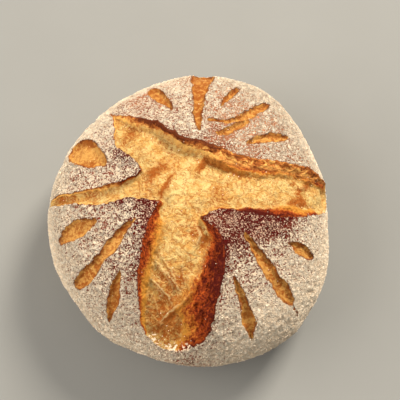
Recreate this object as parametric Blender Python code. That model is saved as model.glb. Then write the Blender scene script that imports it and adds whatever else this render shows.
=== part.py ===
"""A round, flour-dusted Italian hearth loaf, slashed with a cross that burst open in the oven.

The loaf is one solid. Its crust is drawn on a flat map of the skin, as if the skin were peeled off
and laid out: a point's distance from the map's middle is its distance along the skin from the top
of the dome. Map distances are in millimetres, with +X to the right and +Y to the back of the loaf.
"""

import math

import bmesh
import bpy
import numpy as np
from mathutils import Vector, noise

MM = 0.001

# Driving dimensions of the whole loaf, in millimetres
HALF_WIDTH = 109.0
HEIGHT = 98.0
WIDEST_HEIGHT = 40.0
BASE_RADIUS = 78.0
DOME_FULLNESS = 2.25
UNDERSIDE_FULLNESS = 2.2

# The outline seen from above is not a true circle: (number of lobes, swell in mm, direction in degrees)
OUTLINE_LOBES = (
    (2, 3.8, 93.0),
    (3, 3.3, 68.0),
    (4, 0.95, 54.0),
)
# Moves the middle of the uneven outline to the middle of the base
CENTRING = (2.7, -0.5)

# How the crust behaves beside the burst cross, in millimetres
LIP_REACH = 13.0
LIP_LEAN = 0.45
FOOT_DROP = 1.8
UNDERCUT_REACH = 4.0
EDGE_BLEND = 4.0
BLOOM_SINK = 3.0
BLOOM_SINK_REACH = 5.0
RAGGED_EDGE = 1.3
RAGGED_LENGTH = 9.0

# Where the relief fades out above the flat base, as distance along the skin
FADE_START = 150.0
FADE_END = 182.0

# The burst cross is bounded by the torn edges of four flaps of crust and by the ends of its arms.
# Each row is x and y on the skin map, the width of the torn wall inside the edge, the height of the
# lip above the dome, and the height of the sudden step at the foot of the wall.
BACK_EDGE = (
    (-66, 76, 2, 0.5, 0.3),
    (-52, 69, 4, 1.5, 0.8),
    (-38, 61.5, 7, 3.5, 1.8),
    (-24, 55.5, 8, 6.0, 3.5),
    (-12, 48, 9, 7.5, 4.5),
    (-2, 41, 10, 8.0, 4.5),
    (10, 37, 11, 7.0, 3.5),
    (24, 32.5, 12.5, 5.5, 1.8),
    (40, 30, 14, 4.8, 1.0),
    (57, 30, 14, 4.5, 0.8),
    (76, 30.5, 12, 4.8, 0.9),
    (97, 31, 12, 5.0, 1.2),
    (117, 28, 8, 3.5, 1.0),
)
RIGHT_END = (
    (117, 28, 8, 3.5, 1.0),
    (128, 21, 3, 1.5, 0.5),
    (128, 8, 2, 1.0, 0.5),
    (116, -3, 2, 1.0, 0.5),
    (101, -9, 4, 1.2, 0.5),
)
RIGHT_EDGE = (
    (101, -9, 5, 1.0, 0.4),
    (90, -12, 6, 1.2, 0.5),
    (76, -15, 10, 1.6, 0.6),
    (60, -17, 8, 2.2, 0.8),
    (45, -16, 6, 2.6, 1.0),
    (30, -14, 4, 3.0, 1.2),
    (20, -12.5, 3, 3.5, 1.4),
    (12, -15, 2, 4.0, 1.5),
    (7.5, -17.5, 2, 4.0, 1.5),
)
FRONT_RIGHT_EDGE = (
    (7.5, -17.5, 2, 4.0, 1.5),
    (15, -21, 8, 6.0, 2.0),
    (21, -26.5, 11, 7.0, 2.2),
    (23.5, -34, 13, 7.0, 2.2),
    (24, -46, 16, 6.5, 1.8),
    (22.5, -58, 19, 6.0, 1.4),
    (19.5, -70, 22, 5.5, 1.2),
    (17, -82, 25, 5.0, 1.0),
    (13.5, -93, 25, 4.0, 0.8),
    (7, -103, 20, 2.5, 0.5),
    (-4, -110, 8, 1.2, 0.3),
)
FRONT_END = (
    (-4, -110, 3, 1.2, 0.3),
    (-16, -112, 1.5, 1.0, 0.3),
    (-27, -108.5, 1.5, 1.0, 0.3),
    (-35, -99, 1.5, 1.2, 0.4),
)
FRONT_LEFT_EDGE = (
    (-35, -99, 1.5, 1.2, 0.4),
    (-38, -86, 4, 2.0, 0.8),
    (-38.5, -72, 7, 3.0, 1.0),
    (-38.5, -58, 10, 4.0, 1.2),
    (-37, -44, 12, 5.0, 1.5),
    (-34.5, -31, 14, 5.0, 1.5),
    (-31, -19, 12, 5.0, 1.5),
    (-27, -11, 8, 5.0, 1.5),
    (-22, -8, 3, 4.5, 1.5),
)
LEFT_FRONT_EDGE = (
    (-22, -8, 2, 4.5, 1.5),
    (-32, -6, 2, 4.0, 1.5),
    (-42, -4, 2, 3.5, 1.2),
    (-55, -6, 1.5, 3.0, 1.0),
    (-70, -6, 1.5, 2.5, 0.8),
    (-86, -3, 1.5, 2.0, 0.6),
    (-102, -1, 1.5, 1.5, 0.5),
    (-118, 3, 1.5, 0.8, 0.3),
)
LEFT_END = (
    (-118, 3, 1.5, 0.8, 0.3),
    (-125, 6.5, 1.5, 0.5, 0.3),
    (-118, 10, 1.5, 0.8, 0.3),
)
LEFT_BACK_EDGE = (
    (-118, 10, 1.5, 0.8, 0.3),
    (-104, 9.5, 1.5, 1.5, 0.5),
    (-90, 8, 2, 2.0, 0.8),
    (-76, 8.5, 2.5, 2.5, 1.0),
    (-62, 9.5, 3, 3.0, 1.0),
    (-50, 11, 3, 3.5, 1.2),
    (-42, 13.5, 2, 4.0, 1.5),
    (-36, 17, 1.5, 4.0, 1.5),
)
BACK_LEFT_EDGE = (
    (-36, 17, 1.5, 4.0, 2.0),
    (-43, 25.5, 1.5, 4.5, 2.5),
    (-50, 31.5, 1.5, 4.5, 2.5),
    (-56, 38, 1.5, 4.0, 2.0),
    (-58.5, 47, 1.5, 3.0, 1.5),
    (-60, 57, 1.5, 2.0, 1.0),
    (-62.5, 67, 1.5, 1.0, 0.5),
    (-66, 76, 2, 0.5, 0.3),
)
TORN_EDGES = (
    BACK_EDGE,
    RIGHT_END,
    RIGHT_EDGE,
    FRONT_RIGHT_EDGE,
    FRONT_END,
    FRONT_LEFT_EDGE,
    LEFT_FRONT_EDGE,
    LEFT_END,
    LEFT_BACK_EDGE,
    BACK_LEFT_EDGE,
)

# Swellings of the pale dough inside the cross: (x, y, radius, height)
BLOOM_SWELLS = (
    (-8, -8, 26, 5.0),
    (-12, -46, 17, 3.0),
    (52, 4, 24, 4.0),
    (88, 8, 15, 2.0),
    (-30, 40, 18, 3.0),
    (112, 10, 12, 2.0),
)

# Torn folds across the dough inside the cross: (points of its crest as x, y and height, how far its
# steep side reaches, how far its gentle side does). The steep side is on the right of the crest's way.
BLOOM_FOLDS = (
    (((-8, 20, 0.2), (-13, 12, 1.5), (-17, 5, 1.9), (-20, -1, 1.5), (-23, -8, 0.2)), 1.4, 5.0),
    (((0, 10, 0.3), (4, 18, 1.4), (11, 23, 1.8), (22, 21, 1.8), (35, 16, 1.5), (50, 13, 0.8)), 1.4, 4.5),
    (((-25, -93, 0.2), (-16, -84, 1.6), (-6, -74, 2.0), (4, -63, 0.4)), 2.0, 4.0),
    (((-29, -42, 0.2), (-20, -52, 1.2), (-12, -62, 1.3), (-8, -70, 0.3)), 1.2, 3.6),
    (((-30, -58, 0.2), (-23, -64, 1.2), (-17, -72, 1.3), (-13, -78, 0.3)), 1.2, 3.6),
    (((74, 19, 0.2), (83, 13, 1.3), (91, 12, 1.4), (98, 19, 0.3)), 1.4, 4.0),
    (((-76, 8, 0.2), (-73, 2, 0.9), (-72, -4, 0.2)), 1.4, 4.0),
    (((3, -22, 0.2), (5, -27, 1.8), (4, -33, 1.6), (1, -39, 0.2)), 3.5, 1.2),
)

# Leaf slashes in the flaps, each a line of x, y and half width from its inner to its outer end
LEAF_SLASHES = (
    ((-65, 27, 2.5), (-74, 33, 8.5), (-84, 41, 11.5), (-92, 46, 11.0)),
    ((-13, 66, 0.8), (-18.5, 73.5, 3.4), (-24, 82, 5.2), (-30, 91, 5.4)),
    ((5, 46, 1.2), (4.5, 56, 3.4), (5, 70, 4.2), (6, 85, 5.8), (8, 103, 8.8), (8.5, 119, 9.0)),
    ((20.5, 66.5, 0.8), (26, 76, 2.5), (33, 88, 2.6)),
    ((12, 53.5, 1.4), (24, 54, 1.8), (35.5, 58.5, 3.3), (46, 68, 3.6), (57, 78, 2.4)),
    ((18, 43, 1.8), (25, 46, 2.8), (32.5, 51, 2.6), (39, 56, 1.2)),
    ((39, 39.5, 1.2), (48, 43.5, 3.2), (60, 48, 3.9), (72, 51.5, 2.4)),
    ((70, -33.5, 1.2), (76.5, -36, 3.8), (85, -39, 4.6), (91, -41, 3.0)),
    ((35, -27, 0.6), (41.5, -36, 2.8), (48.5, -46, 4.4), (57, -57, 4.8), (65, -66, 5.6), (70, -71, 3.6)),
    ((73, -75.5, 0.7), (79, -82, 1.0)),
    ((29, -55, 0.6), (32.5, -64, 2.6), (36, -74, 3.6), (39.5, -84, 5.0), (41.5, -92, 3.2), (43, -99, 0.8)),
    ((-50.5, -53, 0.8), (-54, -63, 4.0), (-57, -74, 5.0), (-60.5, -83, 2.8), (-63.5, -91, 0.8)),
    ((-40, -18, 0.9), (-48.5, -26, 3.2), (-57, -36, 4.3), (-65, -44.5, 3.9), (-78, -56, 6.2), (-88, -62, 4.6)),
    ((-71, -18, 3.0), (-80, -20.5, 6.3), (-92, -24, 6.6), (-101, -29, 3.4)),
)
LEAF_DEPTH = 2.4
LEAF_EDGE = 1.8
LEAF_LIP = 0.9
LEAF_LIP_REACH = 4.0

# Low swellings and dimples of the whole crust: (length, height) in millimetres
CRUST_LUMPS = ((48.0, 2.2), (17.0, 0.8))

# Facets: rings of the modelling grid, and the share of its triangles that is kept
GRID_RINGS = 140
KEPT_SHARE = 0.0735

CRUST_COLOUR = (0.62, 0.42, 0.24, 1.0)
CRUST_ROUGHNESS = 0.85


def smoothstep(value):
    """0 below 0, 1 above 1, and an even slope between."""
    t = np.clip(value, 0.0, 1.0)
    return t * t * (3.0 - 2.0 * t)


def skin_profile(samples=200):
    """Distance along the skin, radius and height, from the top of the dome to the flat base."""
    turn = np.linspace(0.0, math.pi / 2, samples)
    dome_radius = HALF_WIDTH * np.sin(turn) ** (2 / DOME_FULLNESS)
    dome_height = WIDEST_HEIGHT + (HEIGHT - WIDEST_HEIGHT) * np.cos(turn)
    tuck = np.clip(np.cos(turn[1:]), 0.0, 1.0) ** (2 / UNDERSIDE_FULLNESS)
    under_radius = BASE_RADIUS + (HALF_WIDTH - BASE_RADIUS) * tuck
    under_height = WIDEST_HEIGHT * (1 - np.sin(turn[1:]) ** (2 / UNDERSIDE_FULLNESS))
    radius = np.concatenate([dome_radius, under_radius])
    height = np.concatenate([dome_height, under_height])
    steps = np.hypot(np.diff(radius), np.diff(height))
    along = np.concatenate([[0.0], np.cumsum(steps)])
    return along, radius, height


def outline_scale(angle):
    """How far the uneven outline lies from the nominal circle, as a factor."""
    swell = sum(
        size * np.cos(lobes * (angle - math.radians(direction)))
        for lobes, size, direction in OUTLINE_LOBES
    )
    return 1.0 + swell / HALF_WIDTH


def on_form(skin):
    """Points of the smooth loaf and the directions that face out of it, for points of the map."""
    along, radius, height = skin_profile()
    distance = np.hypot(skin[:, 0], skin[:, 1])
    angle = np.arctan2(skin[:, 1], skin[:, 0])
    distance = np.clip(distance, 0.0, along[-1])
    round_it = np.stack([np.cos(angle), np.sin(angle)], axis=1)
    reach = np.interp(distance, along, radius) * outline_scale(angle)
    points = np.column_stack([round_it * reach[:, None], np.interp(distance, along, height)])
    outward = np.interp(distance, along, -np.gradient(height, along))
    upward = np.interp(distance, along, np.gradient(radius, along))
    facing = np.column_stack([round_it * outward[:, None], upward])
    return points, facing / np.linalg.norm(facing, axis=1)[:, None]


def smooth_line(rows, steps=6):
    """Rows on a smooth curve through the given rows, which may hold more than x and y."""
    rows = np.array(rows, float)
    ends = np.vstack([2 * rows[0] - rows[1], rows, 2 * rows[-1] - rows[-2]])
    t = np.linspace(0.0, 1.0, steps, endpoint=False)[:, None]
    made = []
    for before, start, stop, after in zip(ends, ends[1:], ends[2:], ends[3:]):
        slope_in = (stop - before) / 2
        slope_out = (after - start) / 2
        bend = 2 * start - 2 * stop + slope_in + slope_out
        swing = 3 * stop - 3 * start - 2 * slope_in - slope_out
        made.append(((bend * t + swing) * t + slope_in) * t + start)
    return np.vstack([*made, rows[-1:]])


def nearest_on_line(skin, line):
    """The gap from each map point to a line, the way to it, and the line's further columns there."""
    gap = np.full(len(skin), np.inf)
    way = np.zeros((len(skin), 2))
    columns = np.zeros((len(skin), line.shape[1] - 2))
    for start, stop in zip(line, line[1:]):
        run = stop[:2] - start[:2]
        share = np.clip((skin - start[:2]) @ run / (run @ run), 0.0, 1.0)[:, None]
        to_line = start[:2] + share * run - skin
        length = np.hypot(to_line[:, 0], to_line[:, 1])
        closer = length < gap
        gap[closer] = length[closer]
        way[closer] = to_line[closer]
        columns[closer] = (start[2:] + share * (stop[2:] - start[2:]))[closer]
    return gap, way / np.maximum(gap, 1e-6)[:, None], columns


def inside_outline(skin, outline):
    """Which map points lie inside a closed outline."""
    inside = np.zeros(len(skin), bool)
    for start, stop in zip(outline, np.roll(outline, -1, axis=0)):
        if start[1] == stop[1]:
            continue
        spans = (start[1] > skin[:, 1]) != (stop[1] > skin[:, 1])
        share = (skin[:, 1] - start[1]) / (stop[1] - start[1])
        inside ^= spans & (skin[:, 0] < start[0] + share * (stop[0] - start[0]))
    return inside


def lumps(points, length, seed):
    """Smooth random swellings of about the given length, from -1 to 1, at points of any dimension."""
    spread = np.zeros((len(points), 3))
    spread[:, : points.shape[1]] = points / length
    spread[:, 2] += seed
    return np.array([noise.noise(Vector(point)) for point in spread])


def ragged(skin):
    """The map with its points nudged, so that torn edges drawn on it come out uneven."""
    nudge = [lumps(skin, RAGGED_LENGTH, seed) for seed in (11.3, 27.9)]
    return skin + RAGGED_EDGE * np.stack(nudge, axis=1)


def burst_cross(skin):
    """Height of the crust and sideways lean of the lips, from the burst cross."""
    torn = ragged(skin)
    lines = [smooth_line(edge) for edge in TORN_EDGES]
    inside = inside_outline(torn, np.vstack([line[:-1, :2] for line in lines]))
    found = [nearest_on_line(torn, line) for line in lines]
    depth = np.min([gap for gap, _, _ in found], axis=0)
    raised = np.zeros(len(skin))
    lean = np.zeros((len(skin), 2))
    shares = np.zeros(len(skin))
    for gap, way, columns in found:
        wall, lip, step = columns.T
        share = np.exp((depth - gap) / EDGE_BLEND)
        flap = np.exp(-gap / LIP_REACH)
        slope = 1 - smoothstep(gap / wall)
        drop = 1 - smoothstep((gap - wall) / FOOT_DROP)
        torn_wall = (step + (lip - step) * slope) * drop
        under = step * np.exp(-(((gap - wall - FOOT_DROP / 2) / UNDERCUT_REACH) ** 2))
        over = LIP_LEAN * lip
        raised += share * np.where(inside, torn_wall, lip * flap)
        lean += way * (share * np.where(inside, under / 2 - over * slope, over * flap))[:, None]
        shares += share
    bloom = -BLOOM_SINK * (1 - np.exp(-depth / BLOOM_SINK_REACH))
    bloom += bloom_swells(skin) * smoothstep(depth / 14)
    bloom += bloom_folds(torn) * smoothstep(depth / 4)
    return raised / shares + np.where(inside, bloom, 0.0), lean / shares[:, None], inside


def bloom_swells(skin):
    """The pale dough's broad swellings."""
    return sum(
        height * np.exp(-((skin[:, 0] - x) ** 2 + (skin[:, 1] - y) ** 2) / radius**2)
        for x, y, radius, height in BLOOM_SWELLS
    )


def bloom_folds(skin):
    """The pale dough's torn folds."""
    total = np.zeros(len(skin))
    for crest, steep, gentle in BLOOM_FOLDS:
        line = smooth_line(crest)
        heading = np.gradient(line[:, :2], axis=0)
        gap, way, columns = nearest_on_line(skin, np.hstack([line, heading]))
        height, run_x, run_y = columns.T
        reach = np.where(way[:, 1] * run_x > way[:, 0] * run_y, steep, gentle)
        total += height * np.exp(-((gap / reach) ** 2))
    return total


def leaf_slashes(skin):
    """Depth of the leaf slashes, with a slight lip round each."""
    total = np.zeros(len(skin))
    torn = ragged(skin)
    for leaf in LEAF_SLASHES:
        line = smooth_line(leaf)
        gap, _, half = nearest_on_line(torn, line)
        border = gap - half[:, 0]
        deepest = min(LEAF_DEPTH, line[:, 2].max())
        total -= deepest * smoothstep(-border / LEAF_EDGE)
        total += LEAF_LIP * deepest / LEAF_DEPTH * np.exp(-np.abs(border) / LEAF_LIP_REACH)
    return total


def crust_skin(skin):
    """Points of the finished crust, in millimetres, for points of the map."""
    form = on_form(skin)[0]
    raised, lean, inside = burst_cross(skin)
    raised += np.where(inside, 0.0, leaf_slashes(skin))
    for seed, (length, height) in enumerate(CRUST_LUMPS):
        raised += height * lumps(form, length, 3.1 + seed)
    distance = np.hypot(skin[:, 0], skin[:, 1])
    fade = 1 - smoothstep((distance - FADE_START) / (FADE_END - FADE_START))
    points, facing = on_form(skin + lean * fade[:, None])
    points = points + facing * (raised * fade)[:, None]
    return points + np.array([*CENTRING, 0.0])


def square_to_disc(corners):
    """Points of a square from -1 to 1, moved so that its square rings become round ones."""
    x, y = corners.T
    ring = np.maximum(np.abs(x), np.abs(y))
    safe = np.where(ring > 0, ring, 1.0)
    sideways = np.abs(x) >= np.abs(y)
    turn = (math.pi / 4) * np.where(sideways, y, x) / safe
    along = ring * np.cos(turn)
    across = ring * np.sin(turn)
    disc_x = np.where(sideways, along * np.sign(x), across)
    disc_y = np.where(sideways, across, along * np.sign(y))
    return np.stack([disc_x, disc_y], axis=1)


def loaf_mesh():
    """The loaf's closed skin: a grid wrapped over the dome and tucked under it, and its flat base."""
    made = bmesh.new()
    bmesh.ops.create_grid(made, x_segments=2 * GRID_RINGS, y_segments=2 * GRID_RINGS, size=1.0)
    corners = np.array([vertex.co.xy for vertex in made.verts])
    skin = square_to_disc(corners) * skin_profile()[0][-1]
    for vertex, point in zip(made.verts, crust_skin(skin) * MM):
        vertex.co = point
    rim = [edge for edge in made.edges if edge.is_boundary]
    bmesh.ops.holes_fill(made, edges=rim, sides=0)
    bmesh.ops.recalc_face_normals(made, faces=made.faces)
    mesh = bpy.data.meshes.new("loaf")
    made.to_mesh(mesh)
    made.free()
    return mesh


def crust_material():
    """Floured, baked crust, in one plain colour."""
    material = bpy.data.materials.new("floured_crust")
    material.use_nodes = True
    shader = material.node_tree.nodes["Principled BSDF"]
    shader.inputs["Base Color"].default_value = CRUST_COLOUR
    shader.inputs["Roughness"].default_value = CRUST_ROUGHNESS
    shader.inputs["Metallic"].default_value = 0.0
    return material


def make_loaf():
    """The loaf, with fewer and larger facets where its crust is smooth."""
    loaf = bpy.data.objects.new("loaf", loaf_mesh())
    bpy.context.scene.collection.objects.link(loaf)
    loaf.data.materials.append(crust_material())
    fewer = loaf.modifiers.new("fewer_facets", "DECIMATE")
    fewer.ratio = KEPT_SHARE
    return loaf


def main():
    for old in list(bpy.data.objects):
        bpy.data.objects.remove(old)
    make_loaf()


main()
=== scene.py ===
"""A round, flour-dusted Italian hearth loaf, slashed with a cross that burst open in the oven.

The loaf's crust is drawn on a flat map of the skin, as if the skin were peeled off and laid out: a
point's distance from the map's middle is its distance along the skin from the top of the dome. Map
distances are in millimetres, with +X to the right and +Y to the back of the loaf.
"""

import math

import bpy
import numpy as np
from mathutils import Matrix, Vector, noise


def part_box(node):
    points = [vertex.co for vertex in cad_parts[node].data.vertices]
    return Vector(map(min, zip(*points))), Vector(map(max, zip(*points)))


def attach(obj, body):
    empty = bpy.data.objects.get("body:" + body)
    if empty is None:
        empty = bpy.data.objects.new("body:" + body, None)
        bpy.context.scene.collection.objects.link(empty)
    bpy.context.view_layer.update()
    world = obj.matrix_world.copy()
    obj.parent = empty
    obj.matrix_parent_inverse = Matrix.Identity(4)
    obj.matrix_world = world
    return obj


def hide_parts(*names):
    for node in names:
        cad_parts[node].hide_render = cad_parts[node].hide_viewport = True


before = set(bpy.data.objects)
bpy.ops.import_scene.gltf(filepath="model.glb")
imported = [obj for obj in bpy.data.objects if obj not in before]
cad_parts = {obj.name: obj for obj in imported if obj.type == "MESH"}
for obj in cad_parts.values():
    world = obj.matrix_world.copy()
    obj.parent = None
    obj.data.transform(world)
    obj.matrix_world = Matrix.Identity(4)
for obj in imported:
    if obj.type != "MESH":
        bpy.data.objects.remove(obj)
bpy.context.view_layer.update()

MM = 0.001

# Driving dimensions of the whole loaf, in millimetres
HALF_WIDTH = 109.0
HEIGHT = 98.0
WIDEST_HEIGHT = 40.0
BASE_RADIUS = 78.0
DOME_FULLNESS = 2.25
UNDERSIDE_FULLNESS = 2.2

# The outline seen from above is not a true circle: (number of lobes, swell in mm, direction in degrees)
OUTLINE_LOBES = (
    (2, 3.8, 93.0),
    (3, 3.3, 68.0),
    (4, 0.95, 54.0),
)
# Moves the middle of the uneven outline to the middle of the base
CENTRING = (2.7, -0.5)

# How the crust behaves beside the burst cross, in millimetres
LIP_REACH = 13.0
LIP_LEAN = 0.45
FOOT_DROP = 1.8
UNDERCUT_REACH = 4.0
EDGE_BLEND = 4.0
BLOOM_SINK = 3.0
BLOOM_SINK_REACH = 5.0
RAGGED_EDGE = 1.3
RAGGED_LENGTH = 9.0
FRAYED_EDGE = 1.0
FRAYED_LENGTH = 3.4

# Where the relief fades out above the flat base, as distance along the skin
FADE_START = 150.0
FADE_END = 182.0

# The burst cross is bounded by the torn edges of four flaps of crust and by the ends of its arms.
# Each row is x and y on the skin map, the width of the torn wall inside the edge, the height of the
# lip above the dome, and the height of the sudden step at the foot of the wall.
BACK_EDGE = (
    (-66, 76, 2, 0.5, 0.3),
    (-52, 69, 4, 1.5, 0.8),
    (-38, 61.5, 7, 3.5, 1.8),
    (-24, 55.5, 8, 6.0, 3.5),
    (-12, 48, 9, 7.5, 4.5),
    (-2, 41, 10, 8.0, 4.5),
    (10, 37, 11, 7.0, 3.5),
    (24, 32.5, 12.5, 5.5, 1.8),
    (40, 30, 14, 4.8, 1.0),
    (57, 30, 14, 4.5, 0.8),
    (76, 30.5, 12, 4.8, 0.9),
    (97, 31, 12, 5.0, 1.2),
    (117, 28, 8, 3.5, 1.0),
)
RIGHT_END = (
    (117, 28, 8, 3.5, 1.0),
    (128, 21, 3, 1.5, 0.5),
    (128, 8, 2, 1.0, 0.5),
    (116, -3, 2, 1.0, 0.5),
    (101, -9, 4, 1.2, 0.5),
)
RIGHT_EDGE = (
    (101, -9, 5, 1.0, 0.4),
    (90, -12, 6, 1.2, 0.5),
    (76, -15, 10, 1.6, 0.6),
    (60, -17, 8, 2.2, 0.8),
    (45, -16, 6, 2.6, 1.0),
    (30, -14, 4, 3.0, 1.2),
    (20, -12.5, 3, 3.5, 1.4),
    (12, -15, 2, 4.0, 1.5),
    (7.5, -17.5, 2, 4.0, 1.5),
)
FRONT_RIGHT_EDGE = (
    (7.5, -17.5, 2, 4.0, 1.5),
    (15, -21, 8, 6.0, 2.0),
    (21, -26.5, 11, 7.0, 2.2),
    (23.5, -34, 13, 7.0, 2.2),
    (24, -46, 16, 6.5, 1.8),
    (22.5, -58, 19, 6.0, 1.4),
    (19.5, -70, 22, 5.5, 1.2),
    (17, -82, 25, 5.0, 1.0),
    (13.5, -93, 25, 4.0, 0.8),
    (7, -103, 20, 2.5, 0.5),
    (-4, -110, 8, 1.2, 0.3),
)
FRONT_END = (
    (-4, -110, 3, 1.2, 0.3),
    (-16, -112, 1.5, 1.0, 0.3),
    (-27, -108.5, 1.5, 1.0, 0.3),
    (-35, -99, 1.5, 1.2, 0.4),
)
FRONT_LEFT_EDGE = (
    (-35, -99, 1.5, 1.2, 0.4),
    (-38, -86, 4, 2.0, 0.8),
    (-38.5, -72, 7, 3.0, 1.0),
    (-38.5, -58, 10, 4.0, 1.2),
    (-37, -44, 12, 5.0, 1.5),
    (-34.5, -31, 14, 5.0, 1.5),
    (-31, -19, 12, 5.0, 1.5),
    (-27, -11, 8, 5.0, 1.5),
    (-22, -8, 3, 4.5, 1.5),
)
LEFT_FRONT_EDGE = (
    (-22, -8, 2, 4.5, 1.5),
    (-32, -6, 2, 4.0, 1.5),
    (-42, -4, 2, 3.5, 1.2),
    (-55, -6, 1.5, 3.0, 1.0),
    (-70, -6, 1.5, 2.5, 0.8),
    (-86, -3, 1.5, 2.0, 0.6),
    (-102, -1, 1.5, 1.5, 0.5),
    (-118, 3, 1.5, 0.8, 0.3),
)
LEFT_END = (
    (-118, 3, 1.5, 0.8, 0.3),
    (-125, 6.5, 1.5, 0.5, 0.3),
    (-118, 10, 1.5, 0.8, 0.3),
)
LEFT_BACK_EDGE = (
    (-118, 10, 1.5, 0.8, 0.3),
    (-104, 9.5, 1.5, 1.5, 0.5),
    (-90, 8, 2, 2.0, 0.8),
    (-76, 8.5, 2.5, 2.5, 1.0),
    (-62, 9.5, 3, 3.0, 1.0),
    (-50, 11, 3, 3.5, 1.2),
    (-42, 13.5, 2, 4.0, 1.5),
    (-36, 17, 1.5, 4.0, 1.5),
)
BACK_LEFT_EDGE = (
    (-36, 17, 1.5, 4.0, 2.0),
    (-43, 25.5, 1.5, 4.5, 2.5),
    (-50, 31.5, 1.5, 4.5, 2.5),
    (-56, 38, 1.5, 4.0, 2.0),
    (-58.5, 47, 1.5, 3.0, 1.5),
    (-60, 57, 1.5, 2.0, 1.0),
    (-62.5, 67, 1.5, 1.0, 0.5),
    (-66, 76, 2, 0.5, 0.3),
)
TORN_EDGES = (
    BACK_EDGE,
    RIGHT_END,
    RIGHT_EDGE,
    FRONT_RIGHT_EDGE,
    FRONT_END,
    FRONT_LEFT_EDGE,
    LEFT_FRONT_EDGE,
    LEFT_END,
    LEFT_BACK_EDGE,
    BACK_LEFT_EDGE,
)
# Ends of the arms, where the dough meets the crust without a torn wall
SOFT_ENDS = (RIGHT_END, FRONT_END, LEFT_END)

# Swellings of the pale dough inside the cross: (x, y, radius, height)
BLOOM_SWELLS = (
    (-8, -8, 26, 5.0),
    (-12, -46, 17, 3.0),
    (52, 4, 24, 4.0),
    (88, 8, 15, 2.0),
    (-30, 40, 18, 3.0),
    (112, 10, 12, 2.0),
)

# Torn folds across the dough inside the cross: (points of its crest as x, y and height, how far its
# steep side reaches, how far its gentle side does). The steep side is on the right of the crest's way.
BLOOM_FOLDS = (
    (((-8, 20, 0.2), (-13, 12, 1.5), (-17, 5, 1.9), (-20, -1, 1.5), (-23, -8, 0.2)), 1.4, 5.0),
    (((0, 10, 0.3), (4, 18, 1.4), (11, 23, 1.8), (22, 21, 1.8), (35, 16, 1.5), (50, 13, 0.8)), 1.4, 4.5),
    (((-25, -93, 0.2), (-16, -84, 1.6), (-6, -74, 2.0), (4, -63, 0.4)), 2.0, 4.0),
    (((-29, -42, 0.2), (-20, -52, 1.2), (-12, -62, 1.3), (-8, -70, 0.3)), 1.2, 3.6),
    (((-30, -58, 0.2), (-23, -64, 1.2), (-17, -72, 1.3), (-13, -78, 0.3)), 1.2, 3.6),
    (((74, 19, 0.2), (83, 13, 1.3), (91, 12, 1.4), (98, 19, 0.3)), 1.4, 4.0),
    (((-76, 8, 0.2), (-73, 2, 0.9), (-72, -4, 0.2)), 1.4, 4.0),
    (((3, -22, 0.2), (5, -27, 1.8), (4, -33, 1.6), (1, -39, 0.2)), 3.5, 1.2),
)

# Fine wrinkles of the dough, each a line of x, y and height along its crest
FINE_WRINKLES = (
    ((-26, -38, 0.1), (-20, -44, 0.8), (-15, -53, 0.9), (-11, -63, 0.8), (-10, -72, 0.1)),
    ((-30, -49, 0.1), (-23, -51, 0.7), (-17, -58, 0.8), (-14, -68, 0.7), (-15, -76, 0.1)),
    ((-32, -53, 0.1), (-27, -60, 0.8), (-22, -68, 0.8), (-19, -78, 0.1)),
    ((-33, -66, 0.1), (-28, -72, 0.7), (-25, -80, 0.7), (-25, -88, 0.1)),
    ((-34, -78, 0.1), (-29, -86, 0.6), (-22, -92, 0.6), (-12, -96, 0.1)),
    ((-4, -42, 0.1), (-7, -50, 0.7), (-6, -58, 0.7), (-2, -64, 0.1)),
    ((-30, 26, 0.1), (-24, 20, 0.3), (-17, 17, 0.3), (-9, 18, 0.1)),
    ((-34, 33, 0.1), (-29, 26, 0.3), (-27, 17, 0.3), (-30, 9, 0.1)),
    ((14, 8, 0.1), (22, 3, 0.25), (26, -4, 0.25), (25, -10, 0.1)),
    ((26, 12, 0.1), (32, 4, 0.25), (38, -3, 0.25), (40, -9, 0.1)),
    ((88, 8, 0.1), (96, 6, 0.3), (103, 8, 0.3), (108, 14, 0.1)),
)
WRINKLE_REACH = (0.8, 1.8)

# Leaf slashes in the flaps, each a line of x, y and half width from its inner to its outer end
LEAF_SLASHES = (
    ((-65, 27, 2.5), (-74, 33, 8.5), (-84, 41, 11.5), (-92, 46, 11.0)),
    ((-13, 66, 0.8), (-18.5, 73.5, 3.4), (-24, 82, 5.2), (-30, 91, 5.4)),
    ((5, 46, 1.2), (4.5, 56, 3.4), (5, 70, 4.2), (6, 85, 5.8), (8, 103, 8.8), (8.5, 119, 9.0)),
    ((20.5, 66.5, 0.8), (26, 76, 2.5), (33, 88, 2.6)),
    ((12, 53.5, 1.4), (24, 54, 1.8), (35.5, 58.5, 3.3), (46, 68, 3.6), (57, 78, 2.4)),
    ((18, 43, 1.8), (25, 46, 2.8), (32.5, 51, 2.6), (39, 56, 1.2)),
    ((39, 39.5, 1.2), (48, 43.5, 3.2), (60, 48, 3.9), (72, 51.5, 2.4)),
    ((70, -33.5, 1.2), (76.5, -36, 3.8), (85, -39, 4.6), (91, -41, 3.0)),
    ((35, -27, 0.6), (41.5, -36, 2.8), (48.5, -46, 4.4), (57, -57, 4.8), (65, -66, 5.6), (70, -71, 3.6)),
    ((73, -75.5, 0.7), (79, -82, 1.0)),
    ((29, -55, 0.6), (32.5, -64, 2.6), (36, -74, 3.6), (39.5, -84, 5.0), (41.5, -92, 3.2), (43, -99, 0.8)),
    ((-50.5, -53, 0.8), (-54, -63, 4.0), (-57, -74, 5.0), (-60.5, -83, 2.8), (-63.5, -91, 0.8)),
    (
        (-40, -18, 0.9),
        (-48.5, -26, 3.2),
        (-57, -36, 4.3),
        (-65, -44.5, 3.9),
        (-78, -56, 6.2),
        (-88, -62, 4.6),
    ),
    ((-71, -18, 3.0), (-80, -20.5, 6.3), (-92, -24, 6.6), (-101, -29, 3.4)),
)
LEAF_DEPTH = 2.4
LEAF_EDGE = 1.8
LEAF_LIP = 0.9
LEAF_LIP_REACH = 4.0

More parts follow.
